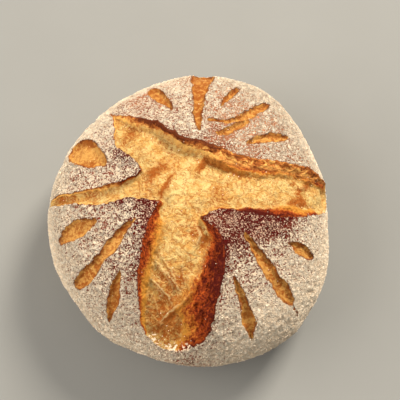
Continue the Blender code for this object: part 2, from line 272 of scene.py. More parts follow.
# Low swellings and dimples of the whole crust: (length, height) in millimetres
CRUST_LUMPS = ((48.0, 2.2), (17.0, 0.8))

# Finer relief than the frame's solid has: (length, height) in millimetres
FLAP_GRAIN = ((6.5, 0.35), (2.7, 0.3))
FLAP_RIDGES = ((4.6, 0.45),)
BLOOM_GRAIN = ((11.0, 0.9), (4.6, 0.6), (2.3, 0.42))
LEAF_GRAIN = ((5.0, 0.5), (2.4, 0.3))
# Layers of the torn walls: (thickness, length along the edge, height) in millimetres
WALL_LAYERS = ((4.5, 13.0, 1.5), (2.4, 5.0, 1.0))

# Toasted patches on the pale dough: (x, y, radius, strength), less than none where paler; some
# rows are painted shade on the front arm and in a hollow beside the nub
TOAST_AND_SHADE_SPOTS = (
    (-27, 17, 6, 1.3),
    (-20, 21, 4, 0.9),
    (-46, 52, 8, 1.1),
    (-3, 15, 5, -0.8),
    (-8, 8, 6, -1.0),
    (-12, 0, 6, -0.9),
    (-15, -9, 5, -0.7),
    (-31, -60, 9, -0.5),
    (-22, -42, 9, -0.4),
    (112, 8, 8, -0.5),
    (76, -3, 4, 0.9),
    (82, -1, 4, 1.2),
    (88, 0, 4, 1.2),
    (85, 6, 3, 0.9),
    (94, -3, 4, 0.6),
    (-31, 8, 8, 0.4),
    (16, -9, 9, 0.5),
    (21, 0, 9, 0.6),
    (-61, 70, 8, 0.8),
    (-103, 5, 18, 0.7),
    (-76, 3, 9, 0.2),
    # Painted shade: darkens the middle of the front arm
    (-18, -62, 20, 0.6),
    (38, 6, 12, 0.1),
    (97, 20, 6, 0.7),
    # Painted shade: darkens the lower end of the front arm
    (-18, -100, 15, 0.75),
    (-8, -84, 16, 0.5),
    (-28, -80, 10, 0.5),
    # Painted shade of a small hollow beside the nub, dark enough to go near black
    (9.5, -31.5, 2.2, 1.7),
    (7.5, -35.5, 2.0, 1.1),
    (2, -26, 8, 0.3),
    (60, 10, 14, -0.25),
    (-4, -22, 16, 0.3),
    (-12, 30, 10, 0.25),
)
# How dark the crease beside each fold's crest is, as toast and as painted shade below the steep side
FOLD_TOAST_AND_SHADE = (0.8, 0.9, 0.25, 0.15, 0.15, 0.6, 0.4, 0.3)
# How strongly each fold's crest and crease are painted with a highlight line and a shade line,
# and the wrinkles' are
FOLD_HIGHLIGHT_AND_SHADE = (0.15, 0.0, 0.6, 0.75, 0.75, 0.2, 0.0, 0.4)
WRINKLE_HIGHLIGHT_AND_SHADE = 0.5
# How far the toast and painted shade of a crease reach from it, in millimetres
CREASE_REACH = 1.8
# Where flour has fallen on the dough: (x, y, radius, strength)
DUSTED_DOUGH = (
    (-16, -113, 7, 1.0),
    (-30, -105, 6, 0.8),
    (-2, -111, 7, 0.9),
    (118, -2, 6, 0.5),
)

# Where the back flap's torn walls have some of the front's darker red: (x, y, radius, strength)
DARK_WALL = (
    (-26, 57, 10, 0.3),
    (-6, 44, 12, 0.3),
    (112, 28, 12, 0.4),
)
# Where the torn walls are golden, or darker where less than none: (x, y, radius, strength)
GOLDEN_WALL = (
    (-34, 60, 12, -0.7),
    (-18, 53, 13, -1.0),
    (-2, 43, 12, -0.7),
    (14, 35, 10, -0.4),
    (60, 30, 16, 0.1),
    (-34, -64, 22, 0.5),
    (-30, -88, 14, 0.5),
    (-28, -28, 14, 0.3),
    (46, -16, 10, -0.9),
    (86, -12, 14, 0.6),
    (16, -48, 18, -0.3),
    (4, -98, 12, 0.5),
)
# How dark the bare crust in the leaf slashes is: (x, y, radius, strength), less than none where pale
LEAF_TONES = (
    (6, 92, 30, 0.4),
    (58, 56, 26, 0.1),
    (-82, 40, 14, -0.8),
    (-84, 55, 8, 1.3),
    (-74, 47, 5, 0.7),
    (-84, 28, 8, 1.2),
    (-92, -24, 24, -0.1),
    (-70, -48, 16, 0.05),
    (-57, -75, 14, 0.3),
    (38, -80, 16, -0.1),
    (50, -50, 24, 0.1),
    (54, 58, 28, -0.25),
)
# Where the lip of a flap is baked dark and bare: (x, y, radius, strength), and how far that reaches
DARK_LIPS = (
    (-30, -8, 13, 1.0),
    (-54, -7, 12, 0.7),
    (-78, -6, 10, 0.3),
    (14, -17, 9, 0.4),
    (38, -16, 14, 1.0),
    (66, -18, 14, 1.1),
    (88, -13, 8, 0.6),
    (-37, 17, 5, 0.4),
    (-50, 31, 9, 1.0),
    (23, -40, 14, 0.6),
    (20, -72, 16, 0.4),
    (-38, -45, 20, 0.3),
    (4, 40, 18, 0.2),
    (-30, 61, 12, 0.1),
)
DARK_LIP_REACH = 2.6

# Where flour is missing on the flaps: (x, y, radius, how much), less than none where more lies;
# two rows are painted shade and painted light low on the front
THIN_FLOUR_LIGHT_AND_SHADE = (
    (13, -19, 8, 0.16),
    (26, -20, 11, 0.26),
    (42, -22, 13, 0.32),
    (59, -22, 11, 0.28),
    (73, -20, 9, 0.16),
    (36, 62, 16, 0.14),
    (62, 60, 14, 0.12),
    (20, 80, 14, 0.08),
    (-30, -30, 10, 0.1),
    (-50, 27, 10, 0.08),
    (32, -38, 12, 0.16),
    (-84, 20, 16, 0.12),
    (-44, -44, 20, 0.08),
    # Painted shade: less flour, so the front of the loaf is darker low down
    (0, -132, 24, 0.3),
    # Painted light: more flour, so the front right of the loaf is brighter low down
    (70, -104, 38, -0.3),
    (-30, -14, 13, 0.2),
    (-50, 84, 13, 0.22),
    (-38, 90, 9, 0.12),
    (-6, 103, 12, 0.22),
    (-32, 78, 12, 0.18),
    (20, 42, 9, 0.24),
    (44, 37, 10, 0.22),
    (76, 37, 8, 0.14),
    (98, 37, 9, 0.16),
)
# How much flour lies on top and how much more further out, the least anywhere above the underside,
# and how much the dark lips and the underside lack
TOP_FLOUR = 0.73
OUTER_FLOUR = 0.18
LEAST_FLOUR = 0.42
LIP_LACK = 0.5
UNDER_LACK = 0.4
# How dark the crust is baked under the flour: (x, y, radius, strength), less than none where pale;
# one row is painted shade low on the front
DARK_CRUST_AND_SHADE = (
    (34, -20, 18, 0.6),
    (60, -20, 14, 0.6),
    (-32, -16, 26, 0.6),
    (28, -50, 26, 0.30),
    (-50, 26, 18, 0.35),
    (-48, -45, 24, 0.30),
    (2, 50, 10, 0.1),
    # Painted shade: darker crust at the front of the loaf low down
    (0, -130, 26, 0.4),
    (50, 70, 40, -0.6),
    (36, 46, 26, -0.4),
    (-40, 92, 30, -0.5),
    (100, 40, 24, -0.6),
    (8, 100, 24, -0.6),
)
# How dark the crust is baked on top, and what the lips, the sides and the underside add to that
TOP_BAKE = 0.25
LIP_BAKE = 0.8
SIDE_BAKE = -0.9
UNDER_BAKE = 0.3

# Between which distances from the map's middle the flour thickens, the top passes into the sides,
# and the sides into the underside
FLOUR_BAND = (60.0, 120.0)
SIDE_BAND = (100.0, 140.0)
UNDER_BAND = (158.0, 182.0)
# Between which distances to the front the sides turn rough, and how much
FRONT_BAND = (50.0, 100.0)
FRONT_ROUGHNESS = 0.7
# Between which distances to the back, and to the left, the torn walls turn from red to gold
GOLD_BACK_BAND = (16.0, 30.0)
GOLD_LEFT_BAND = (45.0, 65.0)

# Rings of the skin's grid, the share of them that covers the part seen from above, and its reach
GRID_RINGS = 156
FINE_SHARE = 0.91
FINE_REACH = 142.0

# Loose coarse flour: the number of grains, their smallest and largest radius in millimetres, how
# uneven a grain is, and how far its middle stands above the crust, as shares of its radius
FLOUR_GRAINS = 6000
GRAIN_RADIUS = (0.14, 0.38)
GRAIN_UNEVENNESS = (0.6, 1.25)
GRAIN_RISE = 0.35
GRAIN_SEED = 7
# How thickly grains lie on the dusted dough, and anywhere at all, beside 1 on the flour
DUSTING_GRAINS = 0.6
STRAY_GRAINS = 0.03

# The camera and what it looks at, in millimetres
CAMERA_ELEVATION = 72.0
CAMERA_DISTANCE = 600.0
CAMERA_AIM = (5.8, 12.2, 45.0)
# Distance to the picture and its width, in pixels, and the sensor's width in millimetres
CAMERA_FOCUS = 796.0
PICTURE_WIDTH = 400.0
SENSOR_WIDTH = 36.0

# The lights: (name, place and size in metres, power in watts, colour)
LIGHTS = (
    ("main", (1.21, 1.65, 1.87), 0.88, 130.0, (1.0, 0.94, 0.85)),
    ("fill", (-2.2, -0.2, 1.4), 2.4, 80.0, (1.0, 0.95, 0.89)),
)
ROOM_COLOUR = (1.0, 0.97, 0.93, 1.0)
ROOM_STRENGTH = 0.63
# From the middle of the floor to its edges, in metres
FLOOR_REACH = 3.0


def smoothstep(value):
    """0 below 0, 1 above 1, and an even slope between."""
    t = np.clip(value, 0.0, 1.0)
    return t * t * (3.0 - 2.0 * t)


def rise(value, start, stop):
    """0 up to start, 1 from stop on, and an even slope between."""
    return smoothstep((value - start) / (stop - start))


def skin_profile(samples=200):
    """Distance along the skin, radius and height, from the top of the dome to the flat base."""
    turn = np.linspace(0.0, math.pi / 2, samples)
    dome_radius = HALF_WIDTH * np.sin(turn) ** (2 / DOME_FULLNESS)
    dome_height = WIDEST_HEIGHT + (HEIGHT - WIDEST_HEIGHT) * np.cos(turn)
    tuck = np.clip(np.cos(turn[1:]), 0.0, 1.0) ** (2 / UNDERSIDE_FULLNESS)
    under_radius = BASE_RADIUS + (HALF_WIDTH - BASE_RADIUS) * tuck
    under_height = WIDEST_HEIGHT * (1 - np.sin(turn[1:]) ** (2 / UNDERSIDE_FULLNESS))
    radius = np.concatenate([dome_radius, under_radius])
    height = np.concatenate([dome_height, under_height])
    steps = np.hypot(np.diff(radius), np.diff(height))
    along = np.concatenate([[0.0], np.cumsum(steps)])
    return along, radius, height


def outline_scale(angle):
    """How far the uneven outline lies from the nominal circle, as a factor."""
    swell = sum(
        size * np.cos(lobes * (angle - math.radians(direction)))
        for lobes, size, direction in OUTLINE_LOBES
    )
    return 1.0 + swell / HALF_WIDTH


def on_form(skin):
    """Points of the smooth loaf and the directions that face out of it, for points of the map."""
    along, radius, height = skin_profile()
    distance = np.hypot(skin[:, 0], skin[:, 1])
    angle = np.arctan2(skin[:, 1], skin[:, 0])
    distance = np.clip(distance, 0.0, along[-1])
    round_it = np.stack([np.cos(angle), np.sin(angle)], axis=1)
    reach = np.interp(distance, along, radius) * outline_scale(angle)
    points = np.column_stack([round_it * reach[:, None], np.interp(distance, along, height)])
    outward = np.interp(distance, along, -np.gradient(height, along))
    upward = np.interp(distance, along, np.gradient(radius, along))
    facing = np.column_stack([round_it * outward[:, None], upward])
    return points, facing / np.linalg.norm(facing, axis=1)[:, None]


def smooth_line(rows, steps=6):
    """Rows on a smooth curve through the given rows, which may hold more than x and y."""
    rows = np.array(rows, float)
    ends = np.vstack([2 * rows[0] - rows[1], rows, 2 * rows[-1] - rows[-2]])
    t = np.linspace(0.0, 1.0, steps, endpoint=False)[:, None]
    made = []
    for before, start, stop, after in zip(ends, ends[1:], ends[2:], ends[3:]):
        slope_in = (stop - before) / 2
        slope_out = (after - start) / 2
        bend = 2 * start - 2 * stop + slope_in + slope_out
        swing = 3 * stop - 3 * start - 2 * slope_in - slope_out
        made.append(((bend * t + swing) * t + slope_in) * t + start)
    return np.vstack([*made, rows[-1:]])


def nearest_on_line(skin, line):
    """The gap from each map point to a line, the way to it, how far along the line that is, and
    the line's further columns there."""
    gap = np.full(len(skin), np.inf)
    way = np.zeros((len(skin), 2))
    along = np.zeros(len(skin))
    columns = np.zeros((len(skin), line.shape[1] - 2))
    travelled = 0.0
    for start, stop in zip(line, line[1:]):
        run = stop[:2] - start[:2]
        share = np.clip((skin - start[:2]) @ run / (run @ run), 0.0, 1.0)[:, None]
        to_line = start[:2] + share * run - skin
        length = np.hypot(to_line[:, 0], to_line[:, 1])
        closer = length < gap
        gap[closer] = length[closer]
        way[closer] = to_line[closer]
        along[closer] = travelled + share[closer, 0] * math.hypot(*run)
        columns[closer] = (start[2:] + share * (stop[2:] - start[2:]))[closer]
        travelled += math.hypot(*run)
    return gap, way / np.maximum(gap, 1e-6)[:, None], along, columns


def inside_outline(skin, outline):
    """Which map points lie inside a closed outline."""
    inside = np.zeros(len(skin), bool)
    for start, stop in zip(outline, np.roll(outline, -1, axis=0)):
        if start[1] == stop[1]:
            continue
        spans = (start[1] > skin[:, 1]) != (stop[1] > skin[:, 1])
        share = (skin[:, 1] - start[1]) / (stop[1] - start[1])
        inside ^= spans & (skin[:, 0] < start[0] + share * (stop[0] - start[0]))
    return inside


def lumps(points, length, seed):
    """Smooth random swellings of about the given length, from -1 to 1, at points of any dimension."""
    spread = np.zeros((len(points), 3))
    spread[:, : points.shape[1]] = points / length
    spread[:, 2] += seed
    return np.array([noise.noise(Vector(point)) for point in spread])


def ragged(skin):
    """The map with its points nudged, so that torn edges drawn on it come out uneven."""
    nudge = [lumps(skin, RAGGED_LENGTH, seed) for seed in (11.3, 27.9)]
    fray = [lumps(skin, FRAYED_LENGTH, seed) for seed in (41.7, 53.1)]
    return skin + RAGGED_EDGE * np.stack(nudge, axis=1) + FRAYED_EDGE * np.stack(fray, axis=1)


def torn_layers(along, gap, seed):
    """Layers of torn crust that run along a flap's edge, as height in millimetres."""
    total = np.zeros(len(gap))
    for number, (thick, long, height) in enumerate(WALL_LAYERS):
        layer = lumps(np.stack([along / long, gap / thick], axis=1), 1.0, seed + number * 17.3)
        total += height * (1 - 2 * np.abs(layer))
    return total


def burst_cross(skin):
    """What the burst cross does to the crust: height, sideways lean, and where its parts lie."""
    torn = ragged(skin)
    lines = [smooth_line(edge) for edge in TORN_EDGES]
    inside = inside_outline(torn, np.vstack([line[:-1, :2] for line in lines]))
    found = [nearest_on_line(torn, line) for line in lines]
    depth = np.min([gap for gap, _, _, _ in found], axis=0)
    raised = np.zeros(len(skin))
    lean = np.zeros((len(skin), 2))
    shares = np.zeros(len(skin))
    wall_share = np.full(len(skin), 99.0)
    beside = np.zeros(len(skin))
    layers = np.zeros(len(skin))
    for number, (edge, (gap, way, along, columns)) in enumerate(zip(TORN_EDGES, found)):
        wall, lip, step = columns.T
        share = np.exp((depth - gap) / EDGE_BLEND)
        flap = np.exp(-gap / LIP_REACH)
        slope = 1 - smoothstep(gap / wall)
        drop = 1 - smoothstep((gap - wall) / FOOT_DROP)
        torn_wall = (step + (lip - step) * slope) * drop
        under = step * np.exp(-(((gap - wall - FOOT_DROP / 2) / UNDERCUT_REACH) ** 2))
        over = LIP_LEAN * lip
        raised += share * np.where(inside, torn_wall, lip * flap)
        lean += way * (share * np.where(inside, under / 2 - over * slope, over * flap))[:, None]
        shares += share
        near = inside & (gap < wall + FOOT_DROP)
        strength = smoothstep((wall - 1) / 8) * smoothstep(gap / 1.5) * drop
        layers[near] += (share * strength)[near] * torn_layers(along[near], gap[near], 5.0 + number)
        if edge in SOFT_ENDS:
            continue
        nearer = gap / wall < wall_share
        wall_share[nearer] = (gap / wall)[nearer]
        beside[nearer] = along[nearer] + 40.0 * number
    bloom = -BLOOM_SINK * (1 - np.exp(-depth / BLOOM_SINK_REACH))
    bloom += bloom_swells(skin) * smoothstep(depth / 14)
    bloom += bloom_folds(torn)[0] * smoothstep(depth / 4)
    height = raised / shares + np.where(inside, bloom + layers / shares, 0.0)
    opening = np.where(inside, depth, -depth)
    return height, lean / shares[:, None], {"opening": opening, "wall": wall_share, "beside": beside}


def bloom_swells(skin):
    """The pale dough's broad swellings."""
    return sum(
        height * np.exp(-((skin[:, 0] - x) ** 2 + (skin[:, 1] - y) ** 2) / radius**2)
        for x, y, radius, height in BLOOM_SWELLS
    )


def bloom_folds(skin):
    """Height of the dough's folds and wrinkles, how dark the creases below their steep sides are, as
    toast and painted shade, the distance to the nearest crest, less than none on its gentle side, and
    how strongly that crest and its creases are painted with a highlight and a shade line."""
    raised = np.zeros(len(skin))
    crease_toast_and_shade = np.zeros(len(skin))
    crest_side = np.full(len(skin), 99.0)
    fold_highlight_and_shade = np.zeros(len(skin))
    wrinkles = [((crest, *WRINKLE_REACH), 0.0, WRINKLE_HIGHLIGHT_AND_SHADE) for crest in FINE_WRINKLES]
    rows = [*zip(BLOOM_FOLDS, FOLD_TOAST_AND_SHADE, FOLD_HIGHLIGHT_AND_SHADE), *wrinkles]
    for (crest, steep, gentle), strength, painted_line_strength in rows:
        line = smooth_line(crest)
        heading = np.gradient(line[:, :2], axis=0)
        gap, way, _, columns = nearest_on_line(skin, np.hstack([line, heading]))
        height, run_x, run_y = columns.T
        on_right = way[:, 1] * run_x > way[:, 0] * run_y
        raised += height * np.exp(-((gap / np.where(on_right, steep, gentle)) ** 2))
        # Toast along the crest, and toast with painted shade in the crease below the steep side
        crease_toast_and_shade += strength * height * np.exp(-(((gap - np.where(on_right, steep, 0)) / CREASE_REACH) ** 2))
        nearer = gap < np.abs(crest_side)
        crest_side[nearer] = np.where(on_right, gap, -gap)[nearer]
        # How strongly the nearest crest and its crease get a painted highlight and a painted shade line
        fold_highlight_and_shade[nearer] = (painted_line_strength * height * np.exp(-((gap / 2) ** 2)))[nearer]
    return raised, crease_toast_and_shade, np.clip(crest_side, -6.0, 6.0), fold_highlight_and_shade


def leaf_slashes(skin):
    """Depth of the leaf slashes, with a slight lip round each, and the distance to the nearest."""
    total = np.zeros(len(skin))
    nearest = np.full(len(skin), np.inf)
    torn = ragged(skin)
    for leaf in LEAF_SLASHES:
        line = smooth_line(leaf)
        gap, _, _, half = nearest_on_line(torn, line)
        border = gap - half[:, 0]
        deepest = min(LEAF_DEPTH, line[:, 2].max())
        total -= deepest * smoothstep(-border / LEAF_EDGE)
        total += LEAF_LIP * deepest / LEAF_DEPTH * np.exp(-np.abs(border) / LEAF_LIP_REACH)
        nearest = np.minimum(nearest, border)
    return total, nearest


def spots(skin, rows):
    """The sum of round soft spots on the map, given as x, y, radius and strength."""
    return sum(
        strength * np.exp(-((skin[:, 0] - x) ** 2 + (skin[:, 1] - y) ** 2) / radius**2)
        for x, y, radius, strength in rows
    )


def grain(points, rows, seed):
    """Fine relief in millimetres, from rows of length and height."""
    return sum(
        height * lumps(points, length, seed + 13.7 * number)
        for number, (length, height) in enumerate(rows)
    )


def ridges(points, rows, seed):
    """Fine winding ridges in millimetres, from rows of length and height."""
    return sum(
        height * (1 - 4 * np.abs(lumps(points, length, seed + 13.7 * number)))
        for number, (length, height) in enumerate(rows)
    )


def crust_skin(skin):
    """Points of the finished crust in millimetres for points of the map, and what covers them."""
    form = on_form(skin)[0]
    raised, lean, covers = burst_cross(skin)
    slashed, leaf = leaf_slashes(skin)
    opening, wall = covers["opening"], covers["wall"]
    inside = opening > 0
    in_leaf = smoothstep(-leaf / 1.5)
    raised += np.where(inside, 0.0, slashed)
    for seed, (length, height) in enumerate(CRUST_LUMPS):
        raised += height * lumps(form, length, 3.1 + seed)
    on_wall = 1 - smoothstep((wall - 1) * 3)
    flap_grain = grain(form, FLAP_GRAIN, 61.0) * (1 - in_leaf) + grain(form, LEAF_GRAIN, 71.0) * in_leaf
    bloom_grain = grain(form, BLOOM_GRAIN, 81.0) * smoothstep(opening / 3)
    flap_grain += ridges(form, FLAP_RIDGES, 91.0) * smoothstep(leaf / 2)
    raised += np.where(inside, bloom_grain * (1 - 0.5 * on_wall), flap_grain)
    fade = 1 - rise(np.hypot(skin[:, 0], skin[:, 1]), FADE_START, FADE_END)
    points, facing = on_form(skin + lean * fade[:, None])
    points = points + facing * (raised * fade)[:, None] + np.array([*CENTRING, 0.0])
    covers["leaf"] = leaf
    covers.update(baked_covers(skin, opening))
    covers.update(dough_covers(skin, inside))
    return points, covers


def baked_covers(skin, opening):
    """Where the crust is smooth, how much flour lies on it, and how dark it is baked, with painted
    light and painted shade low on the front.
    """
    distance = np.hypot(skin[:, 0], skin[:, 1])
    lip = np.exp(np.minimum(opening, 0.0) / DARK_LIP_REACH) * spots(skin, DARK_LIPS)
    side = rise(distance, *SIDE_BAND)
    under = rise(distance, *UNDER_BAND)
    flour = TOP_FLOUR + OUTER_FLOUR * rise(distance, *FLOUR_BAND) - spots(skin, THIN_FLOUR_LIGHT_AND_SHADE) - LIP_LACK * lip
    dark = TOP_BAKE + spots(skin, DARK_CRUST_AND_SHADE) + LIP_BAKE * lip + SIDE_BAKE * side + UNDER_BAKE * under
    return {
        "smooth": side * (1 - FRONT_ROUGHNESS * rise(-skin[:, 1], *FRONT_BAND)),
        "flour": np.maximum(flour, LEAST_FLOUR) - UNDER_LACK * under,
        "dark": dark,
    }


def dough_covers(skin, inside):
    """Where the dough's folds carry a painted highlight and shade line, how much toast the dough and the
    leaf slashes have, with painted shade in the dough's creases, front arm and a hollow, how golden the
    torn walls are, whether their tone is the front's red, 0, or the back's gold, 1, and where flour fell."""
    _, crease_toast_and_shade, crest, fold_highlight_and_shade = bloom_folds(ragged(skin))
    tone = np.maximum(rise(skin[:, 1], *GOLD_BACK_BAND), rise(-skin[:, 0], *GOLD_LEFT_BAND))
    return {
        "crest": crest,
        "fold_highlight_and_shade": fold_highlight_and_shade,
        # The dough's toast carries painted shade in its creases, on its front arm and in a hollow
        "toast": np.where(inside, spots(skin, TOAST_AND_SHADE_SPOTS) + crease_toast_and_shade, spots(skin, LEAF_TONES)),
        "golden": spots(skin, GOLDEN_WALL),
        "tone": tone - spots(skin, DARK_WALL),
        "dusting": spots(skin, DUSTED_DOUGH),
    }


def square_to_disc(corners):
    """Points of a square from -1 to 1, moved so that its square rings become round ones."""
    x, y = corners.T
    ring = np.maximum(np.abs(x), np.abs(y))
    safe = np.where(ring > 0, ring, 1.0)
    sideways = np.abs(x) >= np.abs(y)
    turn = (math.pi / 4) * np.where(sideways, y, x) / safe
    along = ring * np.cos(turn)
    across = ring * np.sin(turn)
    disc_x = np.where(sideways, along * np.sign(x), across)
    disc_y = np.where(sideways, across, along * np.sign(y))
    return np.stack([disc_x, disc_y], axis=1)


def skin_grid():
    """Points of the skin map on a square grid, denser on top, and the grid's quads and rim."""
    side = 2 * GRID_RINGS + 1
    ticks = np.linspace(-1.0, 1.0, side)
    corners = np.stack(np.meshgrid(ticks, ticks), axis=-1).reshape(-1, 2)
    disc = square_to_disc(corners)
    ring = np.hypot(disc[:, 0], disc[:, 1])
    reach = np.interp(ring, [0.0, FINE_SHARE, 1.0], [0.0, FINE_REACH, skin_profile()[0][-1]])
    skin = disc * (reach / np.where(ring > 0, ring, 1.0))[:, None]
    number = np.arange(side * side).reshape(side, side)
    quads = np.stack([number[:-1, :-1], number[:-1, 1:], number[1:, 1:], number[1:, :-1]], axis=-1)
    rim = np.concatenate([number[0, :-1], number[:-1, -1], number[-1, :0:-1], number[:0:-1, 0]])
    return skin, quads.reshape(-1, 4), rim


def fit_to_frame(points):
    """The points in metres, stretched by the last fraction of a millimetre to fill the frame's box."""
    low, high = (np.array(corner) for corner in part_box("loaf"))
    least, most = points.min(axis=0), points.max(axis=0)
    return low + (points - least) / (most - least) * (high - low)


def loaf_piece():
    """The dressed loaf: the dense skin, tucked under and closed by its flat base."""
    skin, quads, rim = skin_grid()
    points, covers = crust_skin(skin)
    points = fit_to_frame(points)
    mesh = bpy.data.meshes.new("crust")
    mesh.from_pydata(points.tolist(), [], [*quads.tolist(), rim[::-1].tolist()])
    for name, values in covers.items():
        cover = mesh.attributes.new(name, "FLOAT", "POINT")
        cover.data.foreach_set("value", np.nan_to_num(values, posinf=99.0).astype(np.float32))
    mesh.shade_smooth()
    mesh.validate()
    loaf = bpy.data.objects.new("crust", mesh)
    bpy.context.scene.collection.objects.link(loaf)
    mesh.materials.append(crust_material())
    return loaf


class Paint:
    """Short ways to add and link the nodes of one material."""

    def __init__(self, name):
        self.material = bpy.data.materials.new(name)
        self.material.use_nodes = True
        self.tree = self.material.node_tree
        self.shader = self.tree.nodes["Principled BSDF"]
        self.place = self.add("ShaderNodeTexCoord").outputs["Object"]

    def add(self, kind, links=None, **settings):
        """A new node with its settings, and its inputs linked or set by name or number."""
        node = self.tree.nodes.new(kind)
        for name, value in settings.items():
            setattr(node, name, value)
        for key, value in (links or {}).items():
            self.feed(node.inputs[key], value)
        return node

    def feed(self, socket, value):
        """Links or sets one input."""
        if isinstance(value, bpy.types.NodeSocket):
            self.tree.links.new(value, socket)
        else:
            socket.default_value = value

    def cover(self, name):
        """A value that the mesh carries at its points."""
        return self.add("ShaderNodeAttribute", attribute_name=name).outputs["Fac"]

    def beside_edge(self, stretch):
        """A place along the nearest torn edge and across it, so many times as far across."""
        along = self.times(self.cover("beside"), MM)
        across = self.times(self.cover("opening"), stretch * MM)
        return self.add("ShaderNodeCombineXYZ", {"X": along, "Y": across}).outputs[0]

    def noise(self, length, detail=2.0, rough=0.5, warp=0.0, place=None):
        """Random swellings from 0 to 1, about the given number of millimetres long."""
        links = {
            "Vector": self.place if place is None else place,
            "Scale": 1 / (length * MM),
            "Detail": detail,
            "Roughness": rough,
            "Distortion": warp,
        }
        return self.add("ShaderNodeTexNoise", links).outputs["Fac"]

    def sway(self, *pattern):
        """Swellings like those of noise, but from -0.5 to 0.5."""
        return self.math("SUBTRACT", self.noise(*pattern), 0.5)

    def math(self, work, first, second=0.0):
        """One sum on two values."""
        return self.add("ShaderNodeMath", {0: first, 1: second}, operation=work).outputs[0]

    def times(self, first, second):
        """The product of two values."""
        return self.math("MULTIPLY", first, second)

    def plus(self, first, second, share=1.0):
        """The first value and a share of the second, added."""
        return self.math("ADD", first, self.times(second, share))

    def ramp(self, value, start, stop):
        """0 where the value is at start, 1 where it is at stop, and an even slope between."""
        links = {"Value": value, "From Min": start, "From Max": stop}
        return self.add("ShaderNodeMapRange", links, interpolation_type="SMOOTHSTEP").outputs[0]

    def mix(self, share, first, second):
        """A colour that goes from the first to the second as the share goes from 0 to 1."""
        links = {0: share, 6: first, 7: second}
        return self.add("ShaderNodeMix", links, data_type="RGBA").outputs[2]

    def blend(self, share, first, second):
        """A number that goes from the first to the second as the share goes from 0 to 1."""
        return self.add("ShaderNodeMix", {0: share, 2: first, 3: second}).outputs[0]


def srgb(red, green, blue):
    """A colour from its 8-bit screen values."""
    def linear(value):
        value /= 255
        return value / 12.92 if value <= 0.04045 else ((value + 0.055) / 1.055) ** 2.4
    return linear(red), linear(green), linear(blue), 1.0


FLOUR = srgb(255, 238, 211)
FLOUR_SHADE = srgb(253, 226, 192)
FLOUR_PINK = srgb(234, 182, 150)
CRUST_PALE = srgb(222, 150, 108)
CRUST_BROWN = srgb(150, 66, 40)
CRUST_DARK = srgb(100, 24, 20)
LEAF_BROWN = srgb(148, 81, 28)
LEAF_GOLD = srgb(198, 145, 74)
LEAF_RIM = srgb(106, 49, 21)
BLOOM_PALE = srgb(213, 183, 118)
BLOOM_GOLD = srgb(194, 146, 77)
# Toasted dough, also used for painted shade in creases, on the front arm and in a hollow
BLOOM_TOAST_AND_SHADE = srgb(149, 79, 26)
# Near black for the darkest toast and for the painted shade of a hollow beside the nub
BLOOM_CHAR_AND_HOLLOW_SHADE = srgb(66, 36, 16)
# Painted highlight along the crests of the dough's folds
BLOOM_HIGHLIGHT = srgb(238, 213, 150)
WALL_DARK = srgb(77, 19, 10)
WALL_BROWN = srgb(184, 80, 27)
WALL_FOOT = srgb(196, 133, 51)
BACK_WALL_DARK = srgb(101, 47, 21)
BACK_WALL_BROWN = srgb(181, 103, 44)
BACK_WALL_GOLD = srgb(240, 185, 99)
FLOOR_SHADE = srgb(127, 126, 121)
FLOOR_PALE = srgb(131, 130, 125)


# How long the patterns of the colours and of the fine relief are, in millimetres
FLOUR_CLUMPS = 8.0
FLOUR_SPECKS = 1.2
FLOUR_TONES = 2.6
FLOUR_CRUMBS = 2.1
SKIN_CREASES = 3.2
BAKED_PATCHES = 11.0
LEAF_PATCHES = 7.0
LEAF_MOTTLES = 2.2
RIM_PATCHES = 8.0
DOUGH_CLOUDS = 5.0
DOUGH_PATCHES = 3.6
DOUGH_ZONES = 22.0
DOUGH_SPECKS = 1.3
DOUGH_CREASES = 6.0
CREST_WAVES = 2.4
WALL_STREAKS = 8.0
WALL_GRIT = 1.4
WALL_PATCHES = 4.0
WALL_RIDGES = 7.0
EDGE_FRAY = 1.7
FALLEN_FLOUR = 1.6
FINE_GRAIN = 1.4
GRAIN_TONES = 2.0
FLOOR_PATCHES = 60.0
# How many times as long along a torn edge as across it the walls' streaks and ridges are
STREAK_STRETCH = 2.6
RIDGE_STRETCH = 4.0
# The width of the band in which the colours of torn edges fray, and how high the fine relief stands
# where its value is 1, in millimetres
FRAY_BAND = 2.6
RELIEF_HEIGHT = 1.2
# How rough each surface is, from 0 for a mirror to 1, and how strongly the crust gleams
FLOURED_ROUGHNESS = 0.9
LEAF_ROUGHNESS = 0.6
DOUGH_ROUGHNESS = 0.75
WALL_ROUGHNESS = 0.55
GRAIN_ROUGHNESS = 0.95
FLOOR_ROUGHNESS = 0.9
CRUST_GLEAM = 0.06


def creases(paint, length):
    """0 along fine creases about the given number of millimetres apart, and up to 1 between them."""
    return paint.times(paint.math("ABSOLUTE", paint.sway(length, 4.0, 0.6, 0.8)), 3.5)


